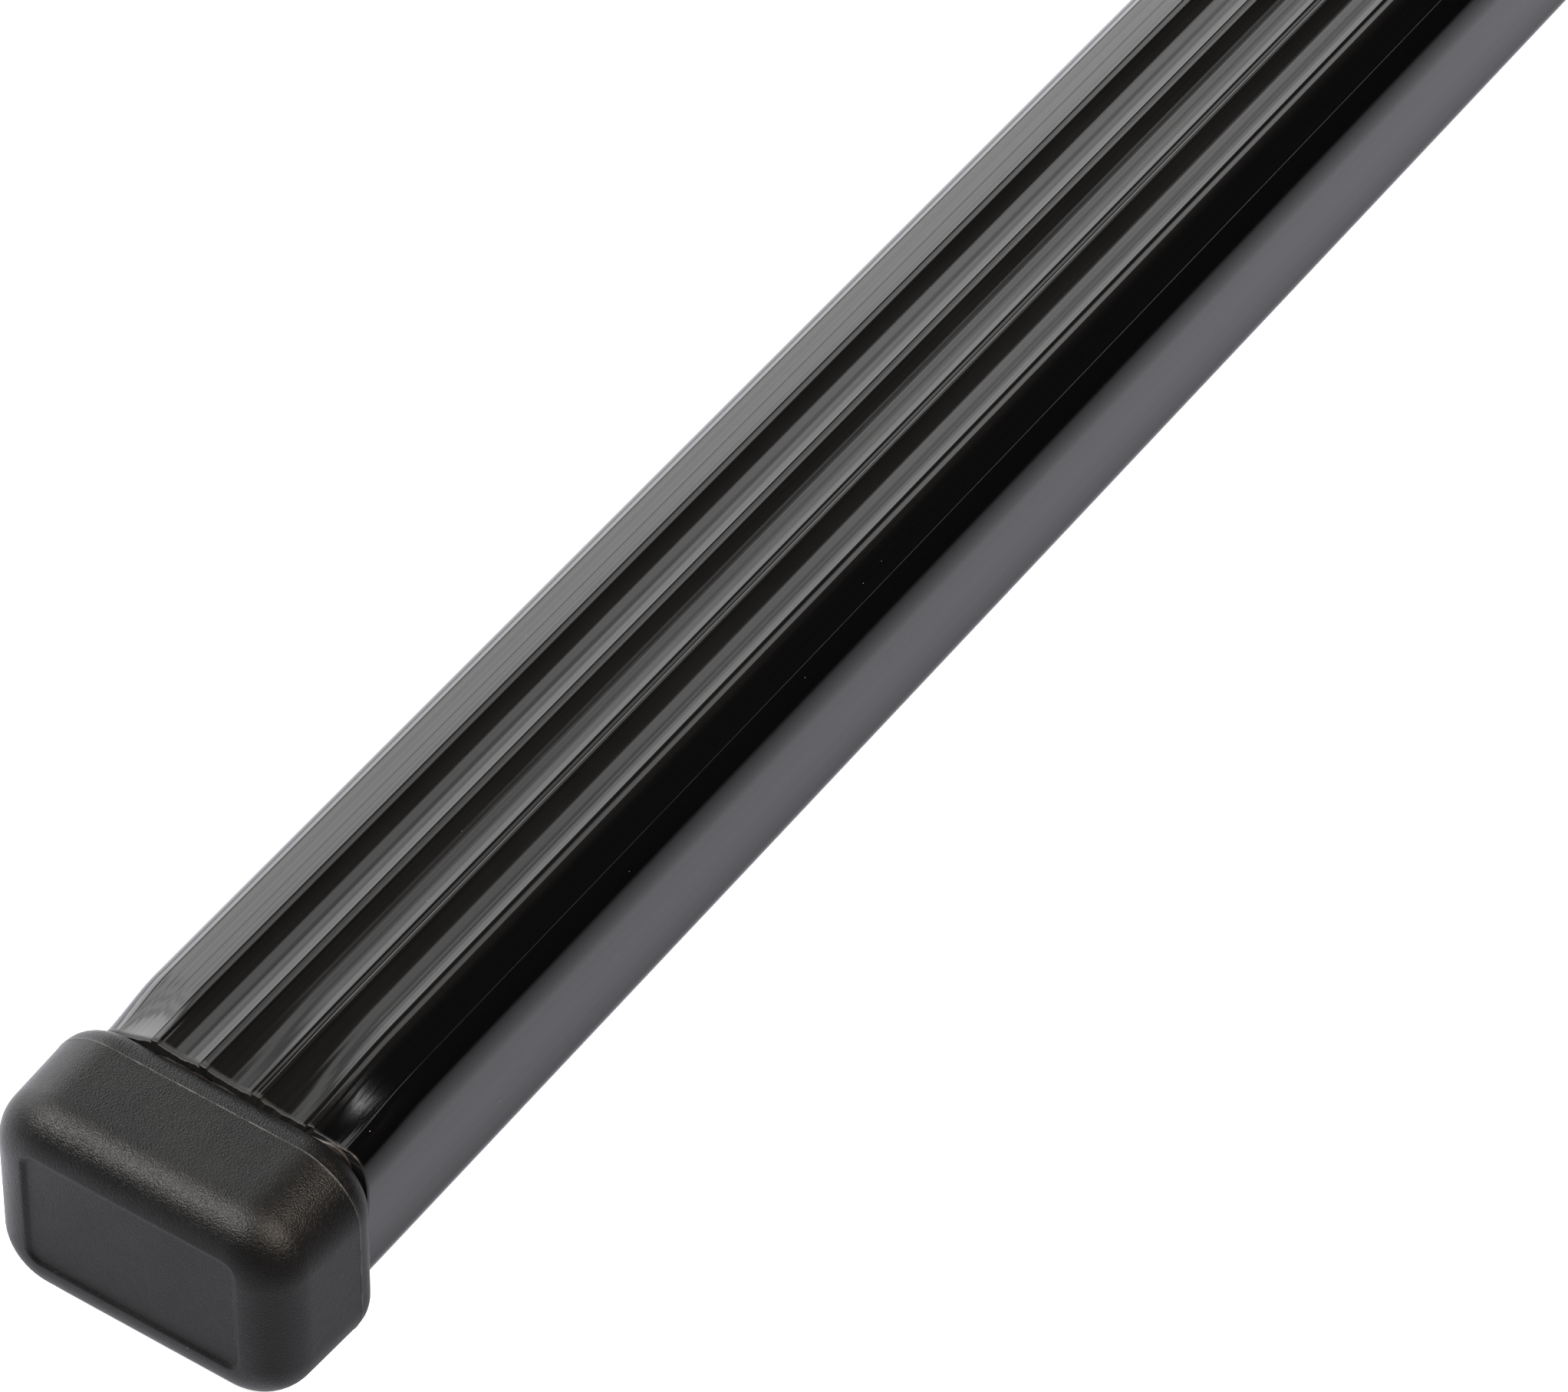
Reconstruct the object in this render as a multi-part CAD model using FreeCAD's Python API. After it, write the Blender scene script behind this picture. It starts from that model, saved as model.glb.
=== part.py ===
import FreeCAD, Part
import math
import os

# Roof rack crossbar, lying along X with its ribbed load face up (+Z), in millimetres.
# The origin is under the middle of the bar, on the plane that its two end caps stand on.

# Whole bar
overall_length = 1180.0

# Steel tube
tube_width = 30.0
tube_height = 20.0
tube_wall = 1.5
tube_corner = 2.5

# Plastic sleeve extruded over the tube
sleeve_side_wall = 1.0
sleeve_bottom_wall = 1.0
sleeve_top_wall = 1.1
sleeve_top_corner = 2.0
ridge_count = 4
ridge_pitch = 6.4
ridge_base = 1.7
ridge_crest = 1.1
ridge_height = 0.3
ridge_crown = 0.08
valley_sag = 0.25
margin_fall = 0.6
edge_groove_width = 0.3
edge_groove_depth = 0.1

# Two soft dents that the cutting press leaves in the top at each end of the bar
dent_depth = 1.3
broad_dent_y = -8.2
broad_dent_reach = 11.0
broad_dent_run = 15.6
edge_dent_y = 15.0
edge_dent_reach = 7.5
edge_dent_run = 9.0
dent_steps = 8

# Head of the end cap, measured at the parting plane where its two mould halves met
head_width = 38.1
head_height = 27.0
head_corner = 7.5
head_draft = 2.0
front_half_depth = 13.0
rear_half_depth = 3.5
head_front_round = 5.5
head_rear_round = 3.1
front_round_steps = 9
rear_round_steps = 5
bar_lift = 1.05

# Shallow sunken field in the front of the head
field_width = 26.0
field_height = 15.6
field_corner = 1.5
field_depth = 0.35
field_lift = 0.6

# Hollow spigot of the end cap, whose crush ribs grip inside the tube
seat_gap = 0.7
spigot_length = 22.0
spigot_wall = 2.0
spigot_taper = 1.2
spigot_root = 1.0
crush_rib_width = 1.0
crush_rib_height = 0.9
crush_rib_spread = 0.6
crush_rib_clearance = 0.05
core_front_wall = 3.5

# Sizes that follow from the ones above
half_length = overall_length / 2
head_depth = front_half_depth + rear_half_depth
bar_half_length = half_length - head_depth - seat_gap
head_centre_z = head_height / 2
tube_centre_z = head_centre_z + bar_lift
tube_top_z = tube_centre_z + tube_height / 2
tube_bottom_z = tube_centre_z - tube_height / 2
sleeve_half_width = tube_width / 2 + sleeve_side_wall
sleeve_bottom_z = tube_bottom_z - sleeve_bottom_wall
sleeve_bottom_corner = tube_corner + sleeve_side_wall
ridge_base_z = tube_top_z + sleeve_top_wall
crease_y = sleeve_half_width - sleeve_top_corner
outer_ridge_y = ridge_pitch * (ridge_count - 1) / 2
bore_width = tube_width - 2 * tube_wall
bore_height = tube_height - 2 * tube_wall
spigot_inset = crush_rib_height + crush_rib_clearance
spigot_width = bore_width - 2 * spigot_inset
spigot_height = bore_height - dent_depth - 2 * spigot_inset
spigot_corner = tube_corner - tube_wall
spigot_centre_z = tube_centre_z - dent_depth / 2
diagonal = math.sqrt(0.5)


def point(x, y, z):
    return FreeCAD.Vector(x, y, z)


def line(start, end):
    return Part.LineSegment(start, end).toShape()


def arc(start, middle, end):
    return Part.Arc(start, middle, end).toShape()


def smooth_edge(points):
    """Smooth curve through points, or a plain line where they all lie level."""
    if max(p.z for p in points) - min(p.z for p in points) < 1e-6:
        return line(points[0], points[-1])
    curve = Part.BSplineCurve()
    curve.interpolate(points)
    return curve.toShape()


def fading(offset, reach):
    """Smooth share that is 1 at no offset and 0 from the reach onwards."""
    if abs(offset) >= reach:
        return 0.0
    return math.cos(math.pi / 2 * offset / reach) ** 2


def dent_at(y, distance):
    """How far the top lies below the straight bar, at y and at a distance from the cut end."""
    broad = fading(y - broad_dent_y, broad_dent_reach) * fading(distance, broad_dent_run)
    edge = fading(y - edge_dent_y, edge_dent_reach) * fading(distance, edge_dent_run)
    return dent_depth * (broad + edge)


def corner_arc(x, y, z, radius, side, up):
    """Quarter round about (y, z), from the level face to the upright one; side and up are +1 or -1."""
    on_level = point(x, y, z + up * radius)
    on_slant = point(x, y + side * diagonal * radius, z + up * diagonal * radius)
    on_upright = point(x, y + side * radius, z)
    return on_level, on_slant, on_upright


def rectangle_wire(x, width, height, corner, centre_z):
    """Rounded rectangle square to X."""
    half_y = width / 2 - corner
    half_z = height / 2 - corner
    edges = []
    last = None
    first = None
    for side, up in ((1, 1), (1, -1), (-1, -1), (-1, 1)):
        level, slant, upright = corner_arc(x, side * half_y, centre_z + up * half_z, corner, side, up)
        if side * up < 0:
            level, upright = upright, level
        if last is None:
            first = level
        else:
            edges.append(line(last, level))
        edges.append(arc(level, slant, upright))
        last = upright
    edges.append(line(last, first))
    return Part.Wire(edges)


def tube_wire(x, distance, inset):
    """Section of the tube, inset from its outer face, at a distance from the cut end."""
    corner = tube_corner - inset
    half_y = tube_width / 2 - tube_corner
    bottom_centre_z = tube_bottom_z + tube_corner
    top_points = []
    for step in range(dent_steps + 1):
        across = 1 - 2 * step / dent_steps
        depth = dent_at(across * crease_y, distance)
        top_points.append(point(x, across * half_y, tube_top_z - inset - depth))
    left = corner_arc(x, half_y, top_points[0].z - corner, corner, 1, 1)
    right = corner_arc(x, -half_y, top_points[-1].z - corner, corner, -1, 1)
    low_left = corner_arc(x, half_y, bottom_centre_z, corner, 1, -1)
    low_right = corner_arc(x, -half_y, bottom_centre_z, corner, -1, -1)
    return Part.Wire([
        smooth_edge(top_points),
        arc(*right),
        line(right[2], low_right[2]),
        arc(*reversed(low_right)),
        line(low_right[0], low_left[0]),
        arc(*low_left),
        line(low_left[2], left[2]),
        arc(*reversed(left)),
    ])


def margin_z(y):
    """Height of the sleeve's smooth margin, which falls from the outer ridge to the edge groove."""
    start = outer_ridge_y + ridge_base / 2
    return ridge_base_z - margin_fall * (abs(y) - start) / (crease_y - start)


def margin_edges(top, side):
    """Margin with its fine edge groove on one side, from the groove's outer edge to the outer ridge."""
    foot_y = side * (outer_ridge_y + ridge_base / 2)
    inner_y = side * (crease_y - edge_groove_width)
    floor_y = side * (crease_y - edge_groove_width / 2)
    rim = top(side * crease_y, margin_z(crease_y))
    floor = top(floor_y, margin_z(floor_y) - edge_groove_depth)
    inner = top(inner_y, margin_z(inner_y))
    foot = top(foot_y, ridge_base_z)
    return [line(rim, floor), line(floor, inner), line(inner, foot)]


def ridge_edges(top, centre):
    """One ridge with its two flanks and lightly crowned crest, from +Y to -Y."""
    crest_z = ridge_base_z + ridge_height
    near_foot = top(centre + ridge_base / 2, ridge_base_z)
    far_foot = top(centre - ridge_base / 2, ridge_base_z)
    near_crest = top(centre + ridge_crest / 2, crest_z - ridge_crown)
    far_crest = top(centre - ridge_crest / 2, crest_z - ridge_crown)
    crown = top(centre, crest_z)
    return [line(near_foot, near_crest), arc(near_crest, crown, far_crest), line(far_crest, far_foot)]


def valley_edge(top, centre):
    """Hollow between two ridges, from +Y to -Y."""
    half_width = (ridge_pitch - ridge_base) / 2
    near = top(centre + half_width, ridge_base_z)
    far = top(centre - half_width, ridge_base_z)
    return arc(near, top(centre, ridge_base_z - valley_sag), far)


def sleeve_wire(x, distance):
    """Outer section of the sleeve with its ridges, valleys, margins and edge grooves."""

    def top(y, z):
        return point(x, y, z - dent_at(y, distance))

    corner = sleeve_top_corner
    low_corner = sleeve_bottom_corner
    low_centre_y = sleeve_half_width - low_corner
    low_centre_z = sleeve_bottom_z + low_corner
    left_z = top(crease_y, margin_z(crease_y)).z - corner
    right_z = top(-crease_y, margin_z(crease_y)).z - corner
    left = corner_arc(x, crease_y, left_z, corner, 1, 1)
    right = corner_arc(x, -crease_y, right_z, corner, -1, 1)
    low_left = corner_arc(x, low_centre_y, low_centre_z, low_corner, 1, -1)
    low_right = corner_arc(x, -low_centre_y, low_centre_z, low_corner, -1, -1)
    edges = margin_edges(top, 1)
    for number in range(ridge_count):
        centre = outer_ridge_y - number * ridge_pitch
        if number > 0:
            edges.append(valley_edge(top, centre + ridge_pitch / 2))
        edges.extend(ridge_edges(top, centre))
    edges.extend(margin_edges(top, -1))
    edges.append(arc(*right))
    edges.append(line(right[2], low_right[2]))
    edges.append(arc(*reversed(low_right)))
    edges.append(line(low_right[0], low_left[0]))
    edges.append(arc(*low_left))
    edges.append(line(low_left[2], left[2]))
    edges.append(arc(*reversed(left)))
    return Part.Wire(Part.__sortEdges__(edges))


def bar_body(section):
    """Solid bar between its two cut ends; section gives the outline at a place and a distance from the cut."""
    run = max(broad_dent_run, edge_dent_run)
    straight_half = bar_half_length - run
    face = Part.Face(section(-straight_half, run))
    body = face.extrude(point(2 * straight_half, 0, 0))
    for side in (-1, 1):
        wires = []
        for step in range(dent_steps + 1):
            distance = run * step / dent_steps
            wires.append(section(side * (bar_half_length - distance), distance))
        body = body.fuse(Part.makeLoft(wires, True, False))
    return body


def make_tube():
    outer = bar_body(lambda x, distance: tube_wire(x, distance, 0.0))
    bore = bar_body(lambda x, distance: tube_wire(x, distance, tube_wall))
    return outer, outer.cut(bore)


def make_sleeve(tube_outer):
    return bar_body(sleeve_wire).cut(tube_outer)


def head_wire(x, inset):
    """Outline of the cap's head, drawn in from its outline at the parting plane."""
    return rectangle_wire(x, head_width - 2 * inset, head_height - 2 * inset, head_corner - inset, head_centre_z)


def rounded_rim(half_depth, radius, steps):
    """Depth below the end face and inset of each ring, from a flat end face over its rounding to the drafted side."""
    draft = math.radians(head_draft)
    centre_inset = (half_depth - radius) * math.tan(draft) + radius / math.cos(draft)
    rings = []
    for step in range(steps + 1):
        angle = (math.pi / 2 - draft) * step / steps
        rings.append((radius * (1 - math.cos(angle)), centre_inset - radius * math.sin(angle)))
    return rings


def make_head(front_x, rear_x):
    """Head drafted both ways from its parting plane, with a broad front and a softer rear rounding."""
    wires = []
    for depth, inset in rounded_rim(front_half_depth, head_front_round, front_round_steps):
        wires.append(head_wire(front_x + depth, inset))
    wires.append(head_wire(front_x + front_half_depth, 0.0))
    for depth, inset in reversed(rounded_rim(rear_half_depth, head_rear_round, rear_round_steps)):
        wires.append(head_wire(rear_x - depth, inset))
    return Part.makeLoft(wires, True, True)


def field_wire(x, growth):
    """Outline of the sunken field, grown on all sides."""
    return rectangle_wire(x, field_width + 2 * growth, field_height + 2 * growth, field_corner + growth,
                          head_centre_z + field_lift)


def make_field(front_x):
    """Space of the sunken field, whose walls slope by 45 degrees about their nominal outline."""
    mouth = field_wire(front_x - field_depth, field_depth * 3 / 2)
    floor = field_wire(front_x + field_depth, -field_depth / 2)
    return Part.makeLoft([mouth, floor], True, True)


def spigot_wire(x, inset):
    """Outline of the spigot without its ribs, drawn in by an inset."""
    return rectangle_wire(x, spigot_width - 2 * inset, spigot_height - 2 * inset, spigot_corner, spigot_centre_z)


def make_crush_ribs(rear_x):
    """Two ribs along each side of the spigot, from the head to the spigot's tapered tip."""
    length = spigot_length - 2 * spigot_taper
    reach_y = spigot_width / 2 + crush_rib_height
    reach_z = spigot_height / 2 + crush_rib_height
    half_rib = crush_rib_width / 2
    ribs = []
    for side in (-1, 1):
        y = side * crush_rib_spread * spigot_width / 2
        z = spigot_centre_z + side * crush_rib_spread * spigot_height / 2
        upright_corner = point(rear_x, y - half_rib, spigot_centre_z - reach_z)
        level_corner = point(rear_x, -reach_y, z - half_rib)
        ribs.append(Part.makeBox(length, crush_rib_width, 2 * reach_z, upright_corner))
        ribs.append(Part.makeBox(length, 2 * reach_y, crush_rib_width, level_corner))
    return ribs


def make_spigot(rear_x):
    """Spigot with a tapered tip and crush ribs, from the rear face of the head into the tube."""
    tip_x = rear_x + spigot_length
    root = spigot_wire(rear_x - spigot_root, 0.0)
    neck = spigot_wire(tip_x - spigot_taper, 0.0)
    tip = spigot_wire(tip_x, spigot_taper / 2)
    return Part.makeLoft([root, neck, tip], True, True).fuse(make_crush_ribs(rear_x))


def make_core(front_x, rear_x):
    """Space inside the spigot and the head, open towards the tube."""
    start = front_x + core_front_wall
    face = Part.Face(spigot_wire(start, spigot_wall))
    return face.extrude(point(rear_x + spigot_length + spigot_root - start, 0, 0))


def make_left_cap():
    """End cap at -X: head with its sunken field, and spigot with crush ribs, all one moulding."""
    front_x = -half_length
    rear_x = front_x + head_depth
    cap = make_head(front_x, rear_x).cut(make_field(front_x))
    cap = cap.fuse(make_spigot(rear_x))
    return cap.cut(make_core(front_x, rear_x))


def one_solid(shape):
    """The single solid that a piece consists of."""
    tidy = shape.removeSplitter()
    if len(tidy.Solids) != 1:
        raise ValueError("expected one solid, got %d" % len(tidy.Solids))
    return tidy.Solids[0]


def make_parts():
    """Every piece by its name; the right cap is the left one turned half round."""
    tube_outer, tube = make_tube()
    left_cap = one_solid(make_left_cap())
    right_cap = left_cap.copy()
    right_cap.rotate(point(0, 0, 0), point(0, 0, 1), 180)
    return {
        "steel_tube": one_solid(tube),
        "ribbed_sleeve": one_solid(make_sleeve(tube_outer)),
        "end_cap_left": left_cap,
        "end_cap_right": right_cap,
    }


os.makedirs("parts", exist_ok=True)
for name, solid in make_parts().items():
    solid.exportStep("parts/%s.step" % name)
    box = solid.BoundBox
    print("%s %.1f cm3, %d faces, x %.2f..%.2f y %.2f..%.2f z %.2f..%.2f valid %s" % (
        name, solid.Volume / 1000, len(solid.Faces), box.XMin, box.XMax, box.YMin, box.YMax,
        box.ZMin, box.ZMax, solid.isValid()))
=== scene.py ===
"""Looks of a roof rack crossbar: a steel tube in a ribbed sleeve, with a cap in each end."""
import logging
import math
from dataclasses import dataclass
from enum import Enum
from typing import Callable, Sequence

import bmesh
import bpy
from mathutils import Matrix, Vector, noise


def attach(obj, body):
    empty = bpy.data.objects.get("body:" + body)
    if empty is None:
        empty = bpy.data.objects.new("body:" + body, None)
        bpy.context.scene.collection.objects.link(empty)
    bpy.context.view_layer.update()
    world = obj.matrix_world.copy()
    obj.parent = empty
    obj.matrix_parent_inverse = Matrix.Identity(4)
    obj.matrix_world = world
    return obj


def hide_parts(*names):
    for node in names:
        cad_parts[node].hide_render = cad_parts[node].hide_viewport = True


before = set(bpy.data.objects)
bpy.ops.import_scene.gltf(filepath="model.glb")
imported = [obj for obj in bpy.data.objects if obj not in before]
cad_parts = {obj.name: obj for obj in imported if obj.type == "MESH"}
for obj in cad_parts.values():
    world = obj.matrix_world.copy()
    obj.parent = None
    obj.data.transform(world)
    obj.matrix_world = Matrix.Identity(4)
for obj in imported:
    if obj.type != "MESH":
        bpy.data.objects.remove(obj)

log = logging.getLogger("crossbar")

MM = 0.001
BODY = "root"

Pair = tuple[float, float]
Triple = tuple[float, float, float]
Section = list[tuple[Pair, Pair]]
Socket = bpy.types.NodeSocket
Piece = bpy.types.Object
Inputs = bpy.types.NodeInputs
Outputs = bpy.types.NodeOutputs


class End(Enum):
    """The two ends of the bar, each with the sign of its place along X."""

    LEFT = -1
    RIGHT = 1

    def place(self, x: float, y: float, z: float) -> Triple:
        """Point of the left end, turned half round the upright axis for the right one."""
        return (x, y, z) if self is End.LEFT else (-x, -y, z)


class Slot(Enum):
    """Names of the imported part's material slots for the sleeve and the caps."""

    SLEEVE = "sleeve_plastic"
    CAP = "cap_plastic"


# -------------------- small helpers


def fading(offset: float, reach: float) -> float:
    """Smooth share that falls from 1 at no offset to 0 at the reach and beyond."""
    return math.cos(math.pi / 2 * min(1.0, abs(offset) / reach)) ** 2


def eased(value: float, low: float, high: float) -> float:
    """Smooth step from 0 up to the low value to 1 from the high value on."""
    share = min(1.0, max(0.0, (value - low) / (high - low)))
    return share * share * (3 - 2 * share)


def rough(place: float, grain: float, seed: float) -> float:
    """Repeatable random height, about -1 to 1, along a line with bumps about one grain wide."""
    return noise.noise(Vector((place / grain, seed, seed * 0.37)))


def spread(start: float, stop: float, count: int) -> list[float]:
    """Evenly spaced numbers from start to stop in a number of steps, both ends included."""
    return [start + (stop - start) * step / count for step in range(count + 1)]


def add_object(name: str, data: bpy.types.ID) -> Piece:
    """Make an object and link it to the scene.

    Args:
        name: Its name.
        data: Its mesh, lamp or camera.

    Returns:
        The new object.
    """
    made = bpy.data.objects.new(name, data)
    bpy.context.scene.collection.objects.link(made)
    return made


class Shell:
    """Closed mesh that grows ring by ring, in millimetres."""

    def __init__(self) -> None:
        """Start with no points and no faces."""
        self.points: list[Triple] = []
        self.faces: list[tuple[int, ...]] = []

    def ring(self, points: Sequence[Triple]) -> list[int]:
        """Add one closed ring of points and give the numbers of the new points."""
        self.points.extend(points)
        return list(range(len(self.points) - len(points), len(self.points)))

    def skin(self, first: Sequence[int], second: Sequence[int]) -> None:
        """Join two rings of the same length with four-sided faces."""
        for place in range(len(first)):
            self.faces.append((first[place - 1], first[place], second[place], second[place - 1]))

    def zip_up(self, first: Sequence[int], second: Sequence[int], middle: Pair) -> None:
        """Join two rings of different lengths that lie in one plane square to X.

        Args:
            first: One ring.
            second: The other ring.
            middle: Their middle as (y, z).
        """

        def turn(number: int) -> float:
            """Angle of a point round the middle."""
            _, y, z = self.points[number]
            return math.atan2(z - middle[1], y - middle[0])

        outer = sorted(first, key=turn)
        inner = sorted(second, key=turn)
        outer_turns = [turn(n) for n in outer] + [turn(outer[0]) + 2 * math.pi]
        inner_turns = [turn(n) for n in inner] + [turn(inner[0]) + 2 * math.pi]
        i = j = 0
        while i < len(outer) or j < len(inner):
            here, there = outer[i % len(outer)], inner[j % len(inner)]
            if j >= len(inner) or (i < len(outer) and outer_turns[i + 1] <= inner_turns[j + 1]):
                self.faces.append((here, outer[(i + 1) % len(outer)], there))
                i += 1
            else:
                self.faces.append((here, inner[(j + 1) % len(inner)], there))
                j += 1

    def skins(self, rings: Sequence[Sequence[int]]) -> None:
        """Join a row of rings of the same length."""
        for first, second in zip(rings, rings[1:]):
            self.skin(first, second)

    def lid(self, ring: Sequence[int]) -> None:
        """Close a ring with one flat face."""
        self.faces.append(tuple(ring))

    def to_object(self, name: str, crease_degrees: float) -> Piece:
        """Turn the rings into a smooth-shaded object with sharp creases.

        Args:
            name: Name of the new object.
            crease_degrees: Angle between faces above which an edge stays sharp.

        Returns:
            The new object, linked to the scene.
        """
        mesh = bpy.data.meshes.new(name)
        mesh.from_pydata([(x * MM, y * MM, z * MM) for x, y, z in self.points], [], self.faces)
        work = bmesh.new()
        work.from_mesh(mesh)
        bmesh.ops.recalc_face_normals(work, faces=work.faces)
        for face in work.faces:
            face.smooth = True
        for edge in work.edges:
            if len(edge.link_faces) == 2 and edge.calc_face_angle() > math.radians(crease_degrees):
                edge.smooth = False
        work.to_mesh(mesh)
        work.free()
        return add_object(name, mesh)


# -------------------- shader tools


class Sheet:
    """A node tree with short calls for adding and joining nodes."""

    def __init__(self, tree: bpy.types.NodeTree) -> None:
        """Work on this node tree."""
        self.tree = tree

    def node(self, kind: str, *feeds: object, **settings: object) -> bpy.types.Node:
        """Add a node.

        Args:
            kind: Node type, such as ShaderNodeMath.
            feeds: Sockets or values for its inputs in order; None leaves an input alone.
            settings: Properties of the node.

        Returns:
            The new node.
        """
        made = self.tree.nodes.new(kind)
        for name, value in settings.items():
            setattr(made, name, value)
        for target, value in zip(made.inputs, feeds):
            self.feed(target, value)
        return made

    def join(self, source: Socket, target: Socket) -> None:
        """Link two sockets."""
        self.tree.links.new(source, target)

    def feed(self, target: Socket, value: object) -> None:
        """Link a socket to another one, or set its number.

        Args:
            target: The input socket.
            value: Another socket, or a plain value.
        """
        if isinstance(value, bpy.types.NodeSocket):
            self.join(value, target)
        elif value is not None:
            target.default_value = value

    def math(self, operation: str, *numbers: object) -> Socket:
        """One step of arithmetic, such as MULTIPLY, on numbers or sockets."""
        return self.node("ShaderNodeMath", *numbers, operation=operation).outputs[0]

    def between(self, value: object, low: object, high: object, to_low: float = 0.0,
                to_high: float = 1.0) -> Socket:
        """Smooth step of a value: to_low up to the low limit and to_high from the high one on."""
        return self.node("ShaderNodeMapRange", value, low, high, to_low, to_high,
                         interpolation_type="SMOOTHSTEP").outputs["Result"]

    def blend(self, share: object, first: object, second: object) -> Socket:
        """Mix two colours, plain or from sockets, by the share of the second one."""
        pair = [(*item, 1.0) if isinstance(item, tuple) else item for item in (first, second)]
        return self.node("ShaderNodeMix", share, *[None] * 5, *pair, data_type="RGBA").outputs[2]

    def place(self) -> Socket:
        """Place on the object, in metres."""
        return self.node("ShaderNodeTexCoord").outputs["Object"]

    def axis(self, number: int) -> Socket:
        """Place on the object along X, Y or Z, numbered from 0, in metres."""
        return self.node("ShaderNodeSeparateXYZ", self.place()).outputs[number]

    def scaled(self, vector: Socket, scale: Triple, shift: Triple = (0.0, 0.0, 0.0)) -> Socket:
        """Texture coordinates stretched and shifted along each axis."""
        return self.node("ShaderNodeMapping", vector, shift, None, scale).outputs["Vector"]

    def noise(self, vector: Socket, scale: float, detail: float, roughness: float) -> Socket:
        """Soft random pattern of about 0.5, with finer layers as strong as the roughness says."""
        made = self.node("ShaderNodeTexNoise", vector, None, scale, detail, roughness)
        return made.outputs["Fac"]


def shader_group(fill: Callable[[Sheet, Outputs], dict[str, Socket]],
                 labels: Sequence[str]) -> bpy.types.NodeTree:
    """Build a shader node group once.

    Args:
        fill: Builds the inside and gives the socket of each output. The group takes its name.
        labels: Names of the number inputs.

    Returns:
        The group's node tree.
    """
    known = bpy.data.node_groups.get(fill.__name__)
    if known:
        return known
    tree = bpy.data.node_groups.new(fill.__name__, "ShaderNodeTree")
    sheet = Sheet(tree)
    for label in labels:
        tree.interface.new_socket(name=label, in_out="INPUT", socket_type="NodeSocketFloat")
    results = fill(sheet, sheet.node("NodeGroupInput").outputs)
    for label in results:
        tree.interface.new_socket(name=label, in_out="OUTPUT", socket_type="NodeSocketFloat")
    leave = sheet.node("NodeGroupOutput").inputs
    for label, socket in results.items():
        sheet.join(socket, leave[label])
    return tree


def dust_specks(sheet: Sheet, entry: Outputs) -> dict[str, Socket]:
    """Scatter small round specks of dust: a dot in a few cells of a cell pattern.

    Args:
        sheet: The group's nodes.
        entry: Its inputs Cells, Share and Radius.

    Returns:
        Its output Mask.
    """
    cells = sheet.node("ShaderNodeTexVoronoi", sheet.place(), None, entry["Cells"]).outputs
    picks = sheet.node("ShaderNodeSeparateColor", cells["Color"]).outputs
    kept = sheet.math("GREATER_THAN", entry["Share"], picks[0])
    radius = sheet.math("MULTIPLY", entry["Radius"], sheet.math("ADD", picks[1], 0.4))
    inner = sheet.math("MULTIPLY", radius, 0.4)
    dot = sheet.between(cells["Distance"], inner, radius, 1.0, 0.0)
    return {"Mask": sheet.math("MULTIPLY", kept, dot)}


def drawn_streaks(sheet: Sheet, entry: Outputs) -> dict[str, Socket]:
    """Draw the fine streaks that drawing or extruding leaves: two noises stretched along X.

    Args:
        sheet: The group's nodes.
        entry: Its inputs Fine and Broad, the shares of the two noises.

    Returns:
        Its outputs Height and Tone.
    """
    place = sheet.place()
    fine = sheet.noise(sheet.scaled(place, (6.0, 3000.0, 3000.0)), 1.0, 2.0, 0.6)
    broad = sheet.scaled(place, (2.0, 850.0, 850.0), (3.0, 1.0, 7.0))
    broad = sheet.noise(broad, 1.0, 1.0, 0.5)
    height = sheet.math("ADD", sheet.math("MULTIPLY", fine, entry["Fine"]),
                        sheet.math("MULTIPLY", broad, entry["Broad"]))
    return {"Height": height, "Tone": fine}


def end_mask(sheet: Sheet, entry: Outputs) -> dict[str, Socket]:
    """Mark a strip at a given distance from the bar's middle, at both ends.

    Args:
        sheet: The group's nodes.
        entry: Its inputs Distance and Width.

    Returns:
        Its output Mask.
    """
    beyond = sheet.math("SUBTRACT", sheet.math("ABSOLUTE", sheet.axis(0)), entry["Distance"])
    away = sheet.math("ABSOLUTE", beyond)
    return {"Mask": sheet.between(away, 0.0, entry["Width"], 1.0, 0.0)}


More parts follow.
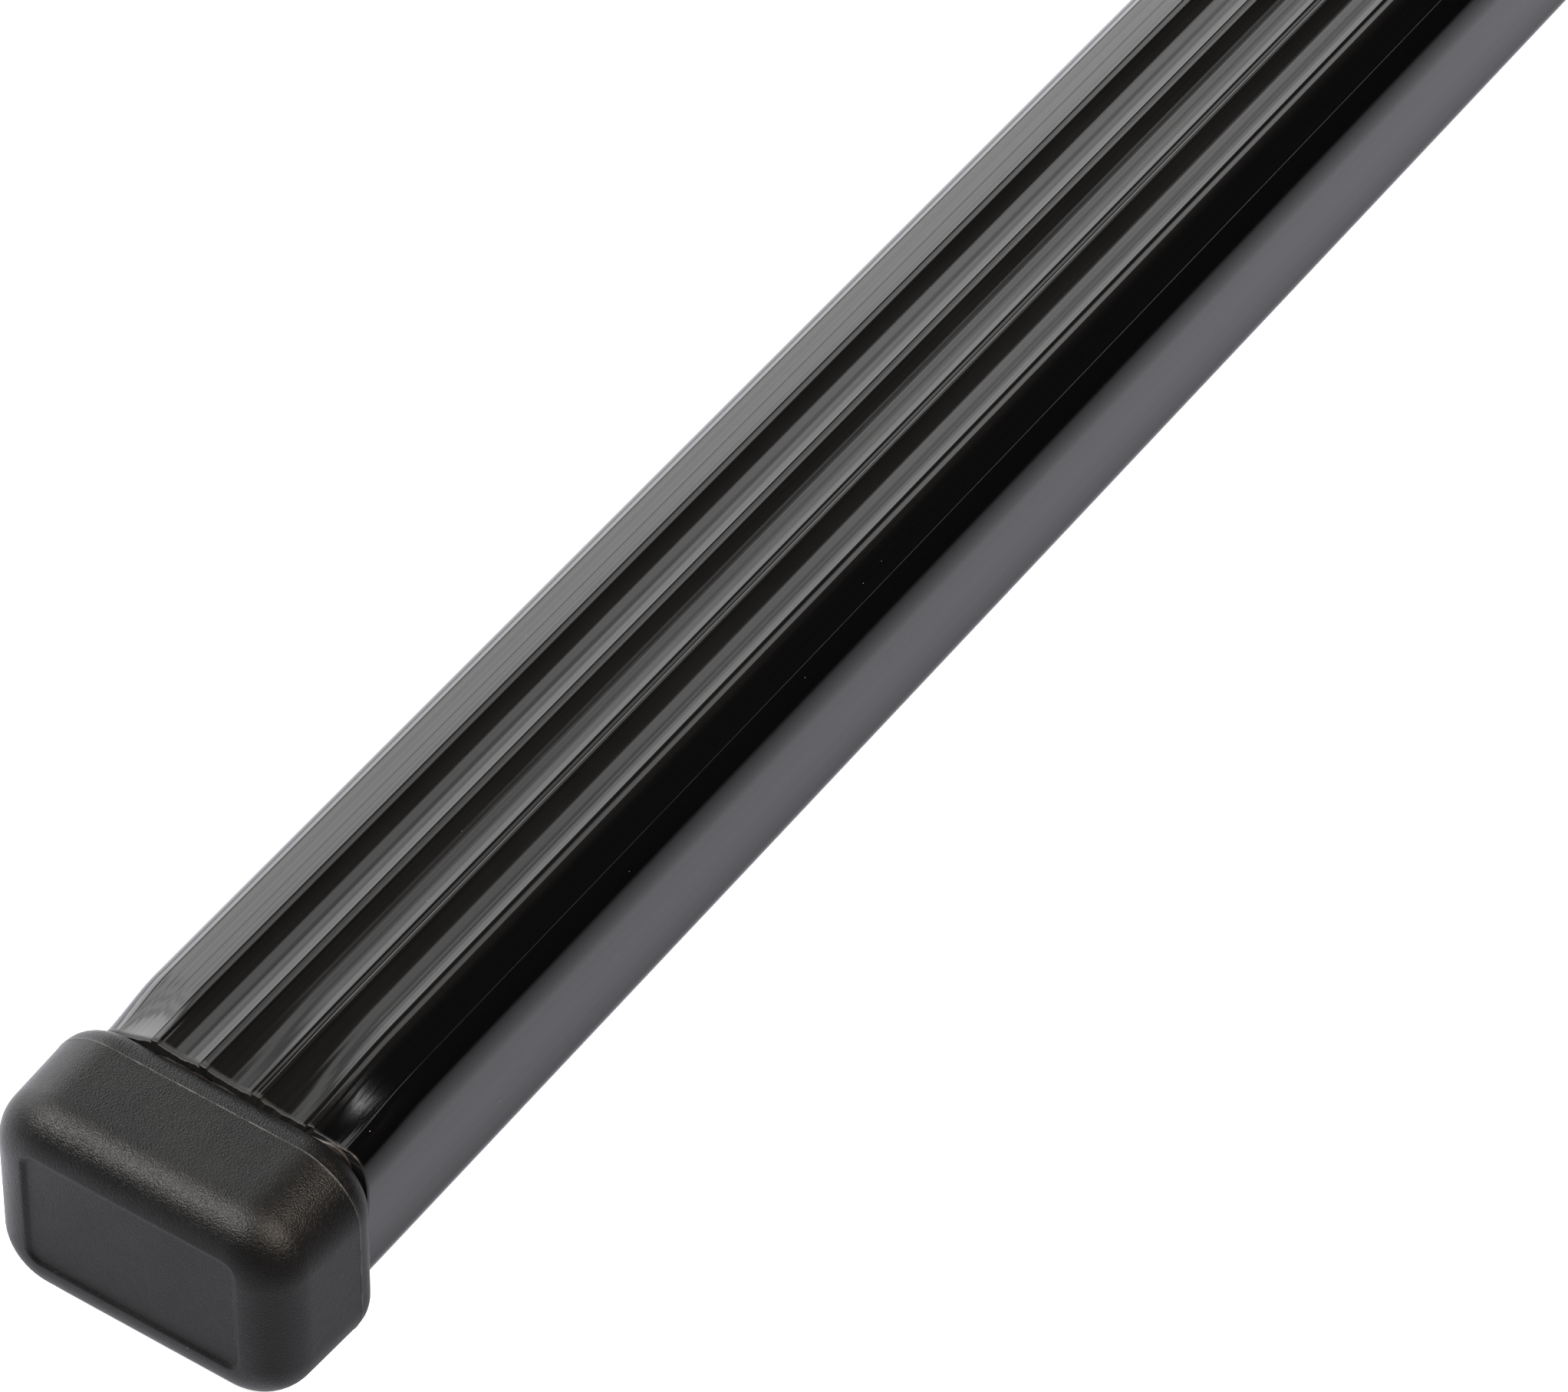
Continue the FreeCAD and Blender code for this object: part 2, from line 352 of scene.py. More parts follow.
class Finish:
    """Base of the finishes: makes a material and fills its nodes."""

    name: str = "finish"

    def material(self) -> bpy.types.Material:
        """Make the material, or give the one that was made before.

        Returns:
            The finished material.
        """
        known = bpy.data.materials.get(self.name)
        if known:
            return known
        made = bpy.data.materials.new(self.name)
        made.use_nodes = True
        made.node_tree.nodes.clear()
        sheet = Sheet(made.node_tree)
        shader = sheet.node("ShaderNodeBsdfPrincipled")
        sheet.node("ShaderNodeOutputMaterial", shader.outputs[0])
        self.fill(sheet, shader.inputs)
        return made

    def fill(self, sheet: Sheet, shader: Inputs) -> None:
        """Set up the finish on a shader's inputs."""
        raise NotImplementedError

    def group(self, sheet: Sheet, fill: Callable[[Sheet, Outputs], dict[str, Socket]],
              **values: object) -> Outputs:
        """Place a shared node group.

        Args:
            sheet: The material's nodes.
            fill: What builds the group.
            values: Values or sockets for its inputs, by name.

        Returns:
            The group's outputs.
        """
        made = sheet.node("ShaderNodeGroup", node_tree=shader_group(fill, list(values)))
        for label, value in values.items():
            sheet.feed(made.inputs[label], value)
        return made.outputs

    def bump(self, sheet: Sheet, height: Socket, depth: float, shader: Inputs) -> None:
        """Raise a pattern from the surface.

        Args:
            sheet: The material's nodes.
            height: The pattern, from 0 to 1.
            depth: Height of the pattern, in metres.
            shader: The shader's inputs.
        """
        made = sheet.node("ShaderNodeBump")
        for label, value in (("Strength", 1.0), ("Distance", depth), ("Height", height)):
            sheet.feed(made.inputs[label], value)
        sheet.join(made.outputs["Normal"], shader["Normal"])


@dataclass(frozen=True)
class GlossySleeveFinish(Finish):
    """Extruded black plastic: glossy, finely streaked along the bar, with a little dust."""

    name: str = "glossy_black_sleeve"
    colour: Triple = (0.0010, 0.0010, 0.0011)
    haze_colour: Triple = (0.0050, 0.0048, 0.0046)
    dust_colour: Triple = (0.20, 0.19, 0.18)
    haze_half_width: float = 0.0098
    haze_fade: float = 0.0016
    haze_roughness: float = 0.03
    cloud_scale: float = 60.0
    ripple_scale: float = 240.0
    roughness: float = 0.075
    streak_roughness: float = 0.06
    streak_depth: float = 0.000010
    dust_roughness: float = 0.4
    sawn_at: float = 0.5728
    sawn_width: float = 0.0007
    sawn_roughness: float = 0.60
    refraction: float = 1.48

    def fill(self, sheet: Sheet, shader: Inputs) -> None:
        """Set up the streaks, the haze between the ridges, the dust and the gloss.

        Args:
            sheet: The material's nodes.
            shader: The shader's inputs.
        """
        streaks = self.group(sheet, drawn_streaks, Fine=0.45, Broad=0.55)
        dust = self.group(sheet, dust_specks, Cells=1300.0, Share=0.02, Radius=0.07)["Mask"]
        away = sheet.math("ABSOLUTE", sheet.axis(1))
        ridged = sheet.between(away, self.haze_half_width, self.haze_half_width + self.haze_fade,
                               1.0, 0.0)
        cloud = sheet.noise(sheet.place(), self.cloud_scale, 3.0, 0.6)
        haze = sheet.math("MULTIPLY", sheet.between(cloud, 0.25, 0.75, 0.7, 1.0), ridged)
        tone = sheet.math("MULTIPLY", sheet.math("MULTIPLY_ADD", streaks["Tone"], 0.6, 0.5), haze)
        body = sheet.blend(tone, self.colour, self.haze_colour)
        sheet.join(sheet.blend(dust, body, self.dust_colour), shader["Base Color"])
        sawn = self.group(sheet, end_mask, Distance=self.sawn_at, Width=self.sawn_width)["Mask"]
        gloss: object = self.roughness
        for share, more in ((streaks["Tone"], self.streak_roughness), (haze, self.haze_roughness),
                            (sawn, self.sawn_roughness), (dust, self.dust_roughness)):
            gloss = sheet.math("MULTIPLY_ADD", share, more, gloss)
        sheet.join(gloss, shader["Roughness"])
        ripple = sheet.noise(sheet.place(), self.ripple_scale, 1.0, 0.5)
        height = sheet.math("MULTIPLY_ADD", ripple, 0.5, streaks["Height"])
        self.bump(sheet, height, self.streak_depth, shader)
        shader["IOR"].default_value = self.refraction


@dataclass(frozen=True)
class MatteCapFinish(Finish):
    """Moulded charcoal plastic with a fine spark-eroded grain."""

    name: str = "matte_charcoal_cap"
    colour: Triple = (0.0018, 0.0018, 0.0019)
    light_colour: Triple = (0.0038, 0.0037, 0.0036)
    # Colour of the parting line: scuffed flash with a painted highlight of its ridge.
    flash_and_painted_highlight_colour: Triple = (0.055, 0.055, 0.055)
    dust_colour: Triple = (0.12, 0.12, 0.12)
    roughness: float = 0.20
    patch_roughness: float = 0.08
    grain_roughness: float = 0.16
    grain_depth: float = 0.00008
    cloud_scale: float = 130.0
    grain_scale: float = 5200.0
    patch_scale: float = 900.0
    patch_height: float = 0.2
    parting_at: float = 0.5770
    parting_width: float = 0.00013
    parting_breaks: float = 420.0
    refraction: float = 1.29

    def fill(self, sheet: Sheet, shader: Inputs) -> None:
        """Set up the grain, the parting line lightened by scuffed flash and a painted highlight,
        and the dust.

        Args:
            sheet: The material's nodes.
            shader: The shader's inputs.
        """
        place = sheet.place()
        cloud = sheet.noise(place, self.cloud_scale, 3.0, 0.6)
        grain = sheet.noise(place, self.grain_scale, 2.0, 0.6)
        patches = sheet.noise(place, self.patch_scale, 2.0, 0.5)
        body = sheet.blend(sheet.between(cloud, 0.3, 0.7), self.colour, self.light_colour)
        # Parting line lighter in colour: partly scuffed flash, partly a painted highlight of the
        # flash ridge catching light.
        line = self.group(sheet, end_mask, Distance=self.parting_at,
                          Width=self.parting_width)["Mask"]
        broken = sheet.between(sheet.noise(place, self.parting_breaks, 2.0, 0.7), 0.42, 0.60)
        line = sheet.math("MULTIPLY", line, sheet.math("MULTIPLY_ADD", broken, 0.8, 0.2))
        body = sheet.blend(line, body, self.flash_and_painted_highlight_colour)
        dust = self.group(sheet, dust_specks, Cells=600.0, Share=0.05, Radius=0.07)["Mask"]
        sheet.join(sheet.blend(dust, body, self.dust_colour), shader["Base Color"])
        gloss = sheet.math("MULTIPLY_ADD", patches, self.patch_roughness, self.roughness)
        gloss = sheet.math("MULTIPLY_ADD", grain, self.grain_roughness, gloss)
        sheet.join(gloss, shader["Roughness"])
        height = sheet.math("MULTIPLY_ADD", patches, self.patch_height, grain)
        self.bump(sheet, height, self.grain_depth, shader)
        shader["IOR"].default_value = self.refraction


@dataclass(frozen=True)
class SawnSteelFinish(Finish):
    """Bare drawn steel with rust where it was sawn."""

    name: str = "sawn_steel"
    colour: Triple = (0.36, 0.36, 0.37)
    dark_colour: Triple = (0.16, 0.155, 0.15)
    rust_colour: Triple = (0.022, 0.013, 0.009)
    cut_at: float = 0.5728
    rust_width: float = 0.0025
    rust_roughness: float = 0.4
    roughness: float = 0.34
    streak_roughness: float = 0.2
    streak_depth: float = 0.00002

    def fill(self, sheet: Sheet, shader: Inputs) -> None:
        """Set up the drawn streaks and the rust.

        Args:
            sheet: The material's nodes.
            shader: The shader's inputs.
        """
        place = sheet.place()
        streaks = self.group(sheet, drawn_streaks, Fine=0.6, Broad=0.4)
        near = self.group(sheet, end_mask, Distance=self.cut_at, Width=self.rust_width)["Mask"]
        spots = sheet.between(sheet.noise(place, 520.0, 4.0, 0.65), 0.40, 0.58)
        film = sheet.between(sheet.noise(place, 90.0, 3.0, 0.6), 0.55, 0.75)
        crust = sheet.math("MULTIPLY", near, sheet.math("MULTIPLY_ADD", spots, 0.3, 0.7))
        rust = sheet.math("MAXIMUM", crust, sheet.math("MULTIPLY", film, 0.25))
        metal = sheet.blend(streaks["Tone"], self.dark_colour, self.colour)
        sheet.join(sheet.blend(rust, metal, self.rust_colour), shader["Base Color"])
        sheet.join(sheet.math("SUBTRACT", 1.0, rust), shader["Metallic"])
        gloss = sheet.math("MULTIPLY_ADD", streaks["Tone"], self.streak_roughness, self.roughness)
        gloss = sheet.math("MULTIPLY_ADD", rust, self.rust_roughness, gloss)
        sheet.join(gloss, shader["Roughness"])
        height = sheet.math("MULTIPLY_ADD", spots, 0.8, streaks["Height"])
        self.bump(sheet, height, self.streak_depth, shader)


@dataclass(frozen=True)
class PaleFloorFinish(Finish):
    """Studio floor, pale to the camera, that keeps a soft shadow; in gloss it shows painted shade
    and a painted glow round the bar.
    """

    name: str = "pale_floor"
    colour: Triple = (0.80, 0.80, 0.81)
    mottle_colour: Triple = (0.792, 0.792, 0.8019)
    # Near-black colour that paints shade over the lit floor in gloss.
    painted_gloss_shade_colour: Triple = (0.02, 0.02, 0.02)
    shown: float = 0.92
    mirrored: float = 0.73
    mirrored_tint: Triple = (0.90, 0.895, 1.0)
    mirrored_lit: float = 0.12
    bar_edge: float = 0.0165
    # Painted light: gain of the glow far out on the lamps' side, and its reach.
    painted_lit_side_gain: float = 1.9
    painted_lit_side_reach: float = 0.017
    # Painted shadow: how much the glow darkens just beside the bar, and its reach.
    painted_foot_shade: float = 0.30
    painted_foot_shade_reach: float = 0.011
    # Painted pool of light: reach and steepness of the glow's fade away from the bar.
    fade_reach: float = 0.075
    fade_power: float = 1.8

    def fill(self, sheet: Sheet, shader: Inputs) -> None:
        """Add a plain glow for camera rays, and for glossy rays a painted glow round the bar over
        painted shade.

        Args:
            sheet: The material's nodes.
            shader: The shader's inputs.
        """
        mottle = sheet.noise(sheet.place(), 3.0, 2.0, 0.5)
        tint = sheet.blend(mottle, self.colour, self.mottle_colour)
        shader["Roughness"].default_value = 0.9
        shader["Specular IOR Level"].default_value = 0.0
        rays = sheet.node("ShaderNodeLightPath").outputs
        camera = sheet.math("MULTIPLY", rays["Is Camera Ray"], self.shown)
        glossy = sheet.math("MAXIMUM", rays["Is Glossy Ray"], rays["Is Transmission Ray"])
        near = self.near_share(sheet)
        lit = sheet.math("MULTIPLY", near, self.mirrored_lit)
        # Painted shade: in gloss the lit floor's colour mostly gives way to near-black.
        painted_gloss_shade = sheet.math("MULTIPLY", glossy, sheet.math("SUBTRACT", 1.0, lit))
        sheet.join(sheet.blend(painted_gloss_shade, tint, self.painted_gloss_shade_colour), shader["Base Color"])
        level = sheet.math("MULTIPLY", near, self.mirrored)
        glow = sheet.math("MULTIPLY_ADD", glossy, level, camera)
        sheet.join(glow, shader["Emission Strength"])
        glow_tint = sheet.blend(glossy, (1.0, 1.0, 1.0), self.mirrored_tint)
        sheet.join(glow_tint, shader["Emission Color"])

    def near_share(self, sheet: Sheet) -> Socket:
        """Share of the floor's painted glow in gloss.

        A painted pool of light: it fades away from the bar on the -Y side, with painted shade
        just beside the bar there, and grows far out on the +Y side, where the lamps stand.

        Args:
            sheet: The material's nodes.

        Returns:
            The share's socket, 1 under the bar.
        """
        # Painted pool of light: the glow fades with distance beyond the bar's -Y edge.
        away = sheet.math("SUBTRACT", -self.bar_edge, sheet.axis(1))
        beyond = sheet.math("DIVIDE", sheet.math("MAXIMUM", away, 0.0), self.fade_reach)
        grown = sheet.math("POWER", beyond, self.fade_power)
        share = sheet.math("DIVIDE", 1.0, sheet.math("ADD", grown, 1.0))
        # Painted shadow: the glow darkens just beside the bar on the -Y side.
        beside = sheet.math("MULTIPLY", sheet.math("GREATER_THAN", away, 0.0),
                            sheet.between(away, 0.0, self.painted_foot_shade_reach, self.painted_foot_shade, 0.0))
        share = sheet.math("MULTIPLY", share, sheet.math("SUBTRACT", 1.0, beside))
        # Painted light: the glow grows far out on the +Y side, where the lamps stand.
        edge = -2.0 * self.bar_edge
        painted_lit_side_share = sheet.between(away, edge - self.painted_lit_side_reach, edge, self.painted_lit_side_gain, 1.0)
        return sheet.math("MULTIPLY", share, painted_lit_side_share)


# -------------------- the bar


@dataclass(frozen=True)
class Dent:
    """One dent beside the cut: its place and reach across the bar, and its run along it."""

    y: float
    reach: float
    run: float

    def share(self, y: float, distance: float) -> float:
        """Share of the full depth at a place, from 0 to 1."""
        return fading(y - self.y, self.reach) * fading(distance, self.run)


@dataclass(frozen=True)
class BarSizes:
    """Sizes that the sleeve and the tube share, in millimetres."""

    half_length: float = 572.8
    tube_half_width: float = 15.0
    tube_top_z: float = 24.55
    tube_bottom_z: float = 4.55
    tube_corner: float = 2.5
    side_wall: float = 1.0
    bottom_wall: float = 1.0
    top_wall: float = 1.1
    top_corner: float = 1.88
    dent_depth: float = 1.3
    broad_dent: Dent = Dent(-8.2, 11.0, 15.6)
    edge_dent: Dent = Dent(15.0, 7.5, 9.0)

    @property
    def crease_y(self) -> float:
        """Where the top meets the upper corner rounding."""
        return self.tube_half_width + self.side_wall - self.top_corner

    @property
    def flat_half(self) -> float:
        """Half the width of the tube's flat top and underside."""
        return self.tube_half_width - self.tube_corner

    def dent(self, y: float, distance: float) -> float:
        """How far the cutting press has pushed the tube down at a place, in millimetres."""
        shares = self.broad_dent.share(y, distance) + self.edge_dent.share(y, distance)
        return self.dent_depth * shares


@dataclass(frozen=True)
class Ridge:
    """One ridge of the sleeve's top, its crest from start down to stop along Y.

    A sharp notch runs along its +Y foot, and a fine line may run along its crest.
    """

    start: float
    stop: float
    notch_depth: float
    notch_width: float
    line_depth: float = 0.0

    @property
    def middle(self) -> float:
        """Middle of the crest."""
        return (self.start + self.stop) / 2


@dataclass
class RibbedSleeve:
    """Plastic sleeve with four ridges, smooth margins and fine edge grooves, sawn at both ends."""

    bar: BarSizes = BarSizes()
    finish: Finish = GlossySleeveFinish()
    name: str = "sleeve_shell"
    ridges: tuple[Ridge, ...] = (
        Ridge(9.54, 8.84, 0.10, 0.30), Ridge(3.47, 2.65, 0.13, 0.30),
        Ridge(-2.89, -3.88, 0.17, 0.40, 0.03), Ridge(-9.47, -10.16, 0.24, 0.60))
    steep_run: float = 0.03
    slant_run: float = 0.15
    ridge_height: float = 0.3
    ridge_crown: float = 0.012
    far_notch_depth: float = 0.012
    far_notch_width: float = 0.20
    crest_line_width: float = 0.12
    valley_sag: float = 0.31
    margin_fall: float = 0.6
    groove_inset: float = 0.15
    groove_width: float = 0.24
    groove_depth: float = 0.014
    edge_softness: float = 0.015
    die_wave: float = 0.014
    crease_tilt: float = 19.5
    corner_radius: float = 3.5
    corner_stop: float = 68.0
    flank_radius: float = 8.5
    broad_share: float = 0.54
    near_share: float = 0.50
    near_dent: Dent = Dent(-13.0, 7.5, 10.5)
    wave_grain: float = 0.9
    fine_wave_grain: float = 0.32
    side_wave: float = 0.005
    fine_step: float = 0.045
    coarse_step: float = 0.11
    fine_reach: float = 1.25
    corner_steps: int = 18
    flank_steps: int = 12
    wall_steps: int = 44
    low_steps: int = 10
    bottom_steps: int = 8
    cut_stations: tuple[float, ...] = (0.0, 0.05, 0.12, 0.22, 0.4, 0.7, 1.1, 1.6)
    dent_start: float = 2.2
    dent_steps: int = 24
    plain_steps: int = 14
    crease_degrees: float = 42.0
    ragged: float = 0.10
    ragged_run: float = 1.6
    burr: float = 0.03
    blunting: float = 0.03
    cut_slant: float = 0.22

    @property
    def base_z(self) -> float:
        """Height of the ridges' feet."""
        return self.bar.tube_top_z + self.bar.top_wall

    def drawn_height(self, y: float) -> float:
        """Height of the top as the die draws it, with sharp edges.

        Args:
            y: Place across the bar.

        Returns:
            Height in millimetres.
        """
        ridge = min(self.ridges, key=lambda other: abs(y - other.middle))
        half = (ridge.start - ridge.stop) / 2
        away = y - ridge.middle
        beyond = abs(away) - half
        if beyond <= 0:
            line = ridge.line_depth * max(0.0, 1 - abs(away) / self.crest_line_width)
            return self.base_z + self.ridge_height - self.ridge_crown * (away / half) ** 2 - line
        if away > 0:
            run, depth, width = self.steep_run, ridge.notch_depth, ridge.notch_width
        else:
            run, depth, width = self.slant_run, self.far_notch_depth, self.far_notch_width
        if beyond <= run:
            rise = self.ridge_height - self.ridge_crown + depth
            return self.base_z - depth + (1 - beyond / run) * rise
        return self.base_z + self.ground(y) - depth * max(0.0, 1 - (beyond - run) / width)

    def ground(self, y: float) -> float:
        """Height of a valley or margin, measured from the ridges' feet.

        Args:
            y: Place across the bar.

        Returns:
            Height in millimetres, 0 or less.
        """
        above = [ridge.stop - self.slant_run for ridge in self.ridges if ridge.middle > y]
        below = [ridge.start + self.steep_run for ridge in self.ridges if ridge.middle <= y]
        if above and below:
            start, stop = above[-1], below[0]
            across = (2 * y - start - stop) / (start - stop)
            return -self.valley_sag * (1 - across ** 2)
        crease = self.bar.crease_y
        inner = abs(below[0] if below else above[-1])
        fall = self.margin_fall * (abs(y) - inner) / (crease - inner)
        groove = max(0.0, 1 - abs(abs(y) - crease + self.groove_inset) / (self.groove_width / 2))
        return -fall - self.groove_depth * groove

    def top_height(self, y: float) -> float:
        """Height of the top with softened edges and the slight waves that the die leaves.

        Args:
            y: Place across the bar.

        Returns:
            Height in millimetres.
        """
        crease = self.bar.crease_y
        spots = [max(-crease, min(crease, y + shift)) for shift in
                 spread(-self.edge_softness, self.edge_softness, 4)]
        soft = sum(self.drawn_height(spot) for spot in spots) / len(spots)
        wave = 0.8 * rough(y, self.wave_grain, 3.1) + 0.5 * rough(y, self.fine_wave_grain, 8.7)
        return soft + self.die_wave * wave * eased(crease - abs(y), 0.0, 0.8)

    def section(self, distance: float) -> Section:
        """Outer points round the sleeve, each with the bore's point below it.

        Args:
            distance: Distance from the nearer cut.

        Returns:
            Pairs of (y, z) points, from +Y over the top to -Y and back below.
        """
        bar = self.bar
        pairs = [((y, self.top_height(y) - self.pressed(y, distance)),
                  (y * bar.flat_half / bar.crease_y, bar.tube_top_z - bar.dent(y, distance)))
                 for y in self.top_places()]
        low_z = bar.tube_bottom_z
        bottom = [((y, low_z - bar.bottom_wall), (y, low_z))
                  for y in spread(-bar.flat_half, bar.flat_half, self.bottom_steps)[1:-1]]
        return pairs + self.side_pairs(-1, distance) + bottom + self.side_pairs(1, distance)[::-1]

    def side_pairs(self, side: int, distance: float) -> Section:
        """Points down one side, from the crease to the underside.

        Args:
            side: 1 for the +Y side, -1 for the other one.
            distance: Distance from the nearer cut.

        Returns:
            Outer (y, z) points, each with the bore's point beside it.
        """
        bar = self.bar
        flat, corner, low_corner = bar.flat_half, bar.tube_corner, bar.tube_corner + bar.side_wall
        low_z = bar.tube_bottom_z - bar.bottom_wall + low_corner
        rim_z = self.top_height(bar.crease_y)
        bore_z = bar.tube_top_z - bar.dent(side * bar.crease_y, distance)
        pairs: Section = []
        flank = self.flank()
        for number, (out, down) in enumerate(flank, 1):
            turn = math.radians(90.0 * number / len(flank))
            y = side * (bar.crease_y + out)
            pairs.append(((y, rim_z - down - self.pressed(y, distance)),
                          (side * (flat + corner * math.sin(turn)),
                           bore_z - corner * (1 - math.cos(turn)))))
        (widest, shoulder_z), (_, bore_z) = pairs[-1]
        bulge = abs(widest) - bar.tube_half_width - bar.side_wall
        for share in spread(0.0, 1.0, self.wall_steps)[1:-1]:
            wave = self.side_wave * rough(share * 14.0, 1.1, 5.0 + side)
            y = abs(widest) - bulge * eased(share, 0.0, 1.0) + wave
            pairs.append(((side * y, shoulder_z + (low_z - shoulder_z) * share),
                          (side * bar.tube_half_width, bore_z + (low_z - bore_z) * share)))
        for turn in spread(0.0, math.pi / 2, self.low_steps):
            across, down = math.cos(turn), math.sin(turn)
            pairs.append(((side * (flat + low_corner * across), low_z - low_corner * down),
                          (side * (flat + corner * across), low_z - corner * down)))
        return pairs

    def flank(self) -> list[Pair]:
        """Profile of the rounding from the crease to the side's widest place.

        Returns:
            Pairs of distance beyond the crease and drop below it.
        """
        out = down = 0.0
        here = math.radians(self.crease_tilt)
        points: list[Pair] = []
        for radius, stop, steps in ((self.corner_radius, self.corner_stop, self.corner_steps),
                                    (self.flank_radius, 90.0, self.flank_steps)):
            for there in spread(here, math.radians(stop), steps)[1:]:
                out += radius * (math.sin(there) - math.sin(here))
                down += radius * (math.cos(here) - math.cos(there))
                here = there
                points.append((out, down))
        return points

    def pressed(self, y: float, distance: float) -> float:
        """How far the cutting press has pushed the outside down at a place, in millimetres."""
        dents = ((self.bar.broad_dent, self.broad_share), (self.near_dent, self.near_share),
                 (self.bar.edge_dent, 1.0))
        return self.bar.dent_depth * sum(dent.share(y, distance) * part for dent, part in dents)

    def top_places(self) -> list[float]:
        """Places across the top, close together round the ridges and the edge grooves.

        Returns:
            Values of y from the left crease to the right one.
        """
        crease = self.bar.crease_y
        stops = [crease, crease - 2 * self.groove_width]
        edges: list[float] = []
        for ridge in self.ridges:
            stops += [ridge.middle + self.fine_reach, ridge.middle - self.fine_reach]
            edges += [ridge.start + self.steep_run, ridge.start,
                      ridge.stop, ridge.stop - self.slant_run]
        stops += [2 * self.groove_width - crease, -crease]
        places: list[float] = []
        for number, (start, stop) in enumerate(zip(stops, stops[1:])):
            step = self.coarse_step if number % 2 else self.fine_step
            places += spread(start, stop, round((start - stop) / step))[:-1]
        clear = self.fine_step / 2
        kept = [place for place in places if all(abs(place - edge) > clear for edge in edges)]
        return sorted(kept + edges, reverse=True) + [-crease]

    def cut_shift(self, y: float, z: float, seed: float) -> float:
        """How far the cut lies behind its nominal plane, at a place on the section.

        Args:
            y: Place across the bar.
            z: Height.
            seed: Chooses the ragged pattern.

        Returns:
            Distance in millimetres.
        """
        slant = self.cut_slant * (1 - 2 * eased(y, -11.0, 1.0))
        on_top = eased(z, 20.0, 24.0)
        torn = rough(y + z, 1.1, seed) + 0.6 * rough(y + z, 0.4, seed + 5)
        return slant * on_top + self.ragged * torn * (0.35 + 0.65 * on_top)

    def build(self) -> Piece:
        """Build the sleeve as one closed shell.

        Returns:
            The sleeve's object.
        """
        shell = Shell()
        bar = self.bar
        run = bar.broad_dent.run
        distances = [*self.cut_stations, *spread(self.dent_start, run, self.dent_steps)]
        distances += spread(run, bar.half_length, self.plain_steps)[1:]
        stations = [(End.LEFT, distance) for distance in distances]
        stations += [(End.RIGHT, distance) for distance in distances[-2::-1]]
        outer_rings, inner_rings = [], []
        for end, distance in stations:
            outer, inner = [], []
            lip = self.burr * fading(distance - 0.10, 0.16)
            blunt = self.blunting * (1 - eased(distance, 0.0, 0.08))
            fade = 1 - eased(distance, 0.0, self.ragged_run)
            seed = 2.0 if end is End.LEFT else 12.0
            for (y, z), (inner_y, inner_z) in self.section(distance):
                shift = self.cut_shift(y, z, seed) * fade
                x = end.value * (bar.half_length - distance - shift)
                rise = lip * (0.5 + 0.5 * rough(y, 0.5, seed + 3)) - blunt
                outer.append((x, y, z + rise * eased(z, 22.0, 24.0)))
                inner.append((x, inner_y, inner_z))
            outer_rings.append(shell.ring(outer))
            inner_rings.append(shell.ring(inner))
        shell.skins(outer_rings)
        shell.skins(inner_rings)
        for place in (0, -1):
            shell.skin(outer_rings[place], inner_rings[place])
        return shell.to_object(self.name, self.crease_degrees)

    def dress(self, piece: Piece) -> None:
        """Give the sleeve its finish and tie it to the frame.

        Args:
            piece: The sleeve's object.
        """
        piece.data.materials.append(self.finish.material())
        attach(piece, BODY)
        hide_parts("ribbed_sleeve")


@dataclass
class SteelTube:
    """Steel tube inside the sleeve; its solid keeps its shape and gets a sawn steel finish."""

    node: str = "steel_tube"
    finish: Finish = SawnSteelFinish()

    def dress(self) -> Piece:
        """Put the steel finish on the tube's own material slots.

        Returns:
            The tube's object.
        """
        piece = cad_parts[self.node]
        if not piece.material_slots:
            piece.data.materials.append(self.finish.material())
        for place in piece.material_slots:
            place.material = self.finish.material()
        return piece


# -------------------- the end caps


